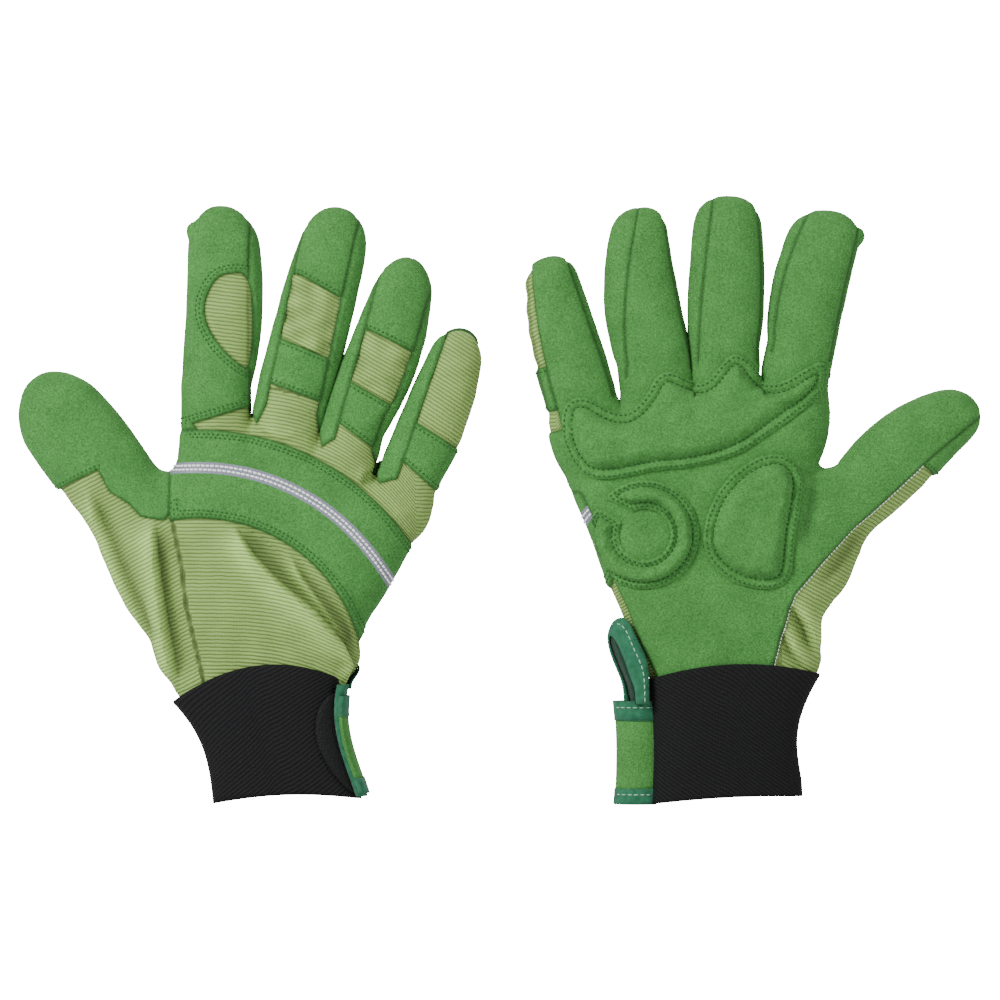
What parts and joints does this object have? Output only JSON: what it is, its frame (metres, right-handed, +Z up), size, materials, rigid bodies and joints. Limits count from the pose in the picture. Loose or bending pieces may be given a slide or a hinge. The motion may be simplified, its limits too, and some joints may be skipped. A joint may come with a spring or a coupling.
{
  "type": "gardening gloves",
  "caption": "Padded gardening gloves with suede palm and fingertips, ribbed stretch back, reflective knuckle band and elastic cuff with a hook tab closure.",
  "frame": {"origin": "on the floor below the middle of the pair, midway between the outer edges of the two thumbs and between front and back", "axes": "+Z up toward the fingertips, +X toward the glove that shows its palm, -Y toward the viewer"},
  "size_m": [0.4026, 0.0382, 0.2547],
  "materials": {
    "suede": "napped green synthetic suede",
    "rib_knit": "ribbed yellow-green stretch fabric",
    "elastic": "black diagonal-twill elastic",
    "hook_fabric": "black hook fabric",
    "binding_tape": "dark green woven tape",
    "reflective_piping": "silver-grey reflective piping",
    "thread": "sewing thread"
  },
  "bodies": {
    "a_hand": {"a_palm_panel": "suede", "a_back_panel": "rib_knit", "a_knuckle_band": "suede", "a_reflective_piping": "reflective_piping", "a_finger_pad": "suede", "a_heel_pad": "suede", "a_thumb_pad": "suede", "a_slit_binding": "binding_tape"},
    "a_cuff": {"a_elastic_cuff": "elastic", "a_closure_tab": "suede"},
    "a_hook_flap": {"a_hook_patch": "hook_fabric"},
    "a_index_base": {"a_index_front": "suede", "a_index_patch": "suede"},
    "a_index_end": {"a_index_window": "rib_knit", "a_index_cap": "suede"},
    "a_middle_base": {"a_middle_front": "suede", "a_middle_band": "suede"},
    "a_middle_end": {"a_middle_window": "rib_knit", "a_middle_cap": "suede"},
    "a_ring_base": {"a_ring_front": "suede", "a_ring_band": "suede"},
    "a_ring_end": {"a_ring_window": "rib_knit", "a_ring_cap": "suede"},
    "a_little_base": {"a_little_front": "suede", "a_little_band": "suede"},
    "a_little_end": {"a_little_back": "rib_knit", "a_little_tip": "suede"},
    "a_thumb_base": {"a_thumb_front": "suede", "a_thumb_back": "rib_knit"},
    "a_thumb_end": {"a_thumb_cap": "suede"},
    "b_hand": {"b_palm_panel": "suede", "b_back_panel": "rib_knit", "b_knuckle_band": "suede", "b_reflective_piping": "reflective_piping", "b_finger_pad": "suede", "b_heel_pad": "suede", "b_thumb_pad": "suede", "b_slit_binding": "binding_tape"},
    "b_cuff": {"b_elastic_cuff": "elastic", "b_closure_tab": "suede"},
    "b_hook_flap": {"b_hook_patch": "hook_fabric"},
    "b_index_base": {"b_index_front": "suede", "b_index_patch": "suede"},
    "b_index_end": {"b_index_window": "rib_knit", "b_index_cap": "suede"},
    "b_middle_base": {"b_middle_front": "suede", "b_middle_band": "suede"},
    "b_middle_end": {"b_middle_window": "rib_knit", "b_middle_cap": "suede"},
    "b_ring_base": {"b_ring_front": "suede", "b_ring_band": "suede"},
    "b_ring_end": {"b_ring_window": "rib_knit", "b_ring_cap": "suede"},
    "b_little_base": {"b_little_front": "suede", "b_little_band": "suede"},
    "b_little_end": {"b_little_back": "rib_knit", "b_little_tip": "suede"},
    "b_thumb_base": {"b_thumb_front": "suede", "b_thumb_back": "rib_knit"},
    "b_thumb_end": {"b_thumb_cap": "suede"}
  },
  "joints": [
    {"name": "a_index_knuckle", "type": "hinge", "parent": "a_hand", "child": "a_index_base", "pos_m": [-0.11763, 0, 0.164], "axis": [-1, 0, 0], "range_deg": [0, 60], "stiffness_Nm_per_rad": 0.12},
    {"name": "a_index_middle", "type": "hinge", "parent": "a_index_base", "child": "a_index_end", "pos_m": [-0.11763, 0, 0.19545], "axis": [-1, 0, 0], "range_deg": [0, 70.01], "stiffness_Nm_per_rad": 0.12},
    {"name": "a_middle_knuckle", "type": "hinge", "parent": "a_hand", "child": "a_middle_base", "pos_m": [-0.08763, 0, 0.161], "axis": [-0.9781, 0, 0.2079], "range_deg": [0, 60], "stiffness_Nm_per_rad": 0.12},
    {"name": "a_middle_middle", "type": "hinge", "parent": "a_middle_base", "child": "a_middle_end", "pos_m": [-0.08078, 0, 0.19321], "axis": [-0.9781, 0, 0.2079], "range_deg": [0, 70.01], "stiffness_Nm_per_rad": 0.12},
    {"name": "a_ring_knuckle", "type": "hinge", "parent": "a_hand", "child": "a_ring_base", "pos_m": [-0.06263, 0, 0.147], "axis": [-0.9636, 0, 0.2672], "range_deg": [0, 60], "stiffness_Nm_per_rad": 0.12},
    {"name": "a_ring_middle", "type": "hinge", "parent": "a_ring_base", "child": "a_ring_end", "pos_m": [-0.05433, 0, 0.17695], "axis": [-0.9636, 0, 0.2672], "range_deg": [0, 70.01], "stiffness_Nm_per_rad": 0.12},
    {"name": "a_little_knuckle", "type": "hinge", "parent": "a_hand", "child": "a_little_base", "pos_m": [-0.04013, 0, 0.131], "axis": [-0.9455, 0, 0.3256], "range_deg": [0, 60], "stiffness_Nm_per_rad": 0.12},
    {"name": "a_little_middle", "type": "hinge", "parent": "a_little_base", "child": "a_little_end", "pos_m": [-0.03158, 0, 0.15584], "axis": [-0.9455, 0, 0.3256], "range_deg": [0, 70.01], "stiffness_Nm_per_rad": 0.12},
    {"name": "a_thumb_knuckle", "type": "hinge", "parent": "a_hand", "child": "a_thumb_base", "pos_m": [-0.15133, 0, 0.1222], "axis": [-0.7771, 0, -0.6293], "range_deg": [0, 50], "stiffness_Nm_per_rad": 0.12},
    {"name": "a_thumb_middle", "type": "hinge", "parent": "a_thumb_base", "child": "a_thumb_end", "pos_m": [-0.1716, 0, 0.14722], "axis": [-0.7771, 0, -0.6293], "range_deg": [0, 60.01], "stiffness_Nm_per_rad": 0.12},
    {"name": "a_wrist", "type": "hinge", "parent": "a_hand", "child": "a_cuff", "pos_m": [-0.10063, 0, 0.045], "axis": [0.9744, 0, 0.225], "range_deg": [-25, 25], "stiffness_Nm_per_rad": 0.6},
    {"name": "a_hook_flap_peel", "type": "hinge", "parent": "a_cuff", "child": "a_hook_flap", "pos_m": [-0.07989, -0.0154, 0.022], "axis": [0.225, 0, -0.9744], "range_deg": [0, 100], "stiffness_Nm_per_rad": 0.03},
    {"name": "b_index_knuckle", "type": "hinge", "parent": "b_hand", "child": "b_index_base", "pos_m": [0.12437, 0, 0.183], "axis": [0.9806, 0, -0.1959], "range_deg": [0, 60], "stiffness_Nm_per_rad": 0.12},
    {"name": "b_index_middle", "type": "hinge", "parent": "b_index_base", "child": "b_index_end", "pos_m": [0.12915, 0, 0.20695], "axis": [0.9806, 0, -0.1959], "range_deg": [0, 70.01], "stiffness_Nm_per_rad": 0.12},
    {"name": "b_middle_knuckle", "type": "hinge", "parent": "b_hand", "child": "b_middle_base", "pos_m": [0.09337, 0, 0.181], "axis": [1, 0, 0], "range_deg": [0, 60], "stiffness_Nm_per_rad": 0.12},
    {"name": "b_middle_middle", "type": "hinge", "parent": "b_middle_base", "child": "b_middle_end", "pos_m": [0.09337, 0, 0.20801], "axis": [1, 0, 0], "range_deg": [0, 70.01], "stiffness_Nm_per_rad": 0.12},
    {"name": "b_ring_knuckle", "type": "hinge", "parent": "b_hand", "child": "b_ring_base", "pos_m": [0.06387, 0, 0.176], "axis": [0.9949, 0, 0.1011], "range_deg": [0, 60], "stiffness_Nm_per_rad": 0.12},
    {"name": "b_ring_middle", "type": "hinge", "parent": "b_ring_base", "child": "b_ring_end", "pos_m": [0.0611, 0, 0.20324], "axis": [0.9949, 0, 0.1011], "range_deg": [0, 70.01], "stiffness_Nm_per_rad": 0.12},
    {"name": "b_little_knuckle", "type": "hinge", "parent": "b_hand", "child": "b_little_base", "pos_m": [0.03437, 0, 0.164], "axis": [0.9728, 0, 0.2317], "range_deg": [0, 60], "stiffness_Nm_per_rad": 0.12},
    {"name": "b_little_middle", "type": "hinge", "parent": "b_little_base", "child": "b_little_end", "pos_m": [0.02871, 0, 0.18776], "axis": [0.9728, 0, 0.2317], "range_deg": [0, 70.01], "stiffness_Nm_per_rad": 0.12},
    {"name": "b_thumb_knuckle", "type": "hinge", "parent": "b_hand", "child": "b_thumb_base", "pos_m": [0.14067, 0, 0.125], "axis": [0.5793, 0, -0.8151], "range_deg": [0, 50], "stiffness_Nm_per_rad": 0.12},
    {"name": "b_thumb_middle", "type": "hinge", "parent": "b_thumb_base", "child": "b_thumb_end", "pos_m": [0.16729, 0, 0.14392], "axis": [0.5793, 0, -0.8151], "range_deg": [0, 60.01], "stiffness_Nm_per_rad": 0.12},
    {"name": "b_wrist", "type": "hinge", "parent": "b_hand", "child": "b_cuff", "pos_m": [0.09537, 0, 0.05], "axis": [-1, 0, 0], "range_deg": [-25, 25], "stiffness_Nm_per_rad": 0.6},
    {"name": "b_hook_flap_peel", "type": "hinge", "parent": "b_cuff", "child": "b_hook_flap", "pos_m": [0.07761, 0.0154, 0.022], "axis": [0, 0, -1], "range_deg": [0, 100], "stiffness_Nm_per_rad": 0.03},
    {"name": "a_glove_lift", "type": "slide", "parent": "b_hand", "child": "a_hand", "axis": [0, 0, 1], "range_m": [0, 0.05]}
  ],
  "couplings": [
    {"joint": "a_index_middle", "follows": "a_index_knuckle", "ratio": 1.1667},
    {"joint": "a_middle_middle", "follows": "a_middle_knuckle", "ratio": 1.1667},
    {"joint": "a_ring_middle", "follows": "a_ring_knuckle", "ratio": 1.1667},
    {"joint": "a_little_middle", "follows": "a_little_knuckle", "ratio": 1.1667},
    {"joint": "a_thumb_middle", "follows": "a_thumb_knuckle", "ratio": 1.2},
    {"joint": "b_index_middle", "follows": "b_index_knuckle", "ratio": 1.1667},
    {"joint": "b_middle_middle", "follows": "b_middle_knuckle", "ratio": 1.1667},
    {"joint": "b_ring_middle", "follows": "b_ring_knuckle", "ratio": 1.1667},
    {"joint": "b_little_middle", "follows": "b_little_knuckle", "ratio": 1.1667},
    {"joint": "b_thumb_middle", "follows": "b_thumb_knuckle", "ratio": 1.2}
  ]
}
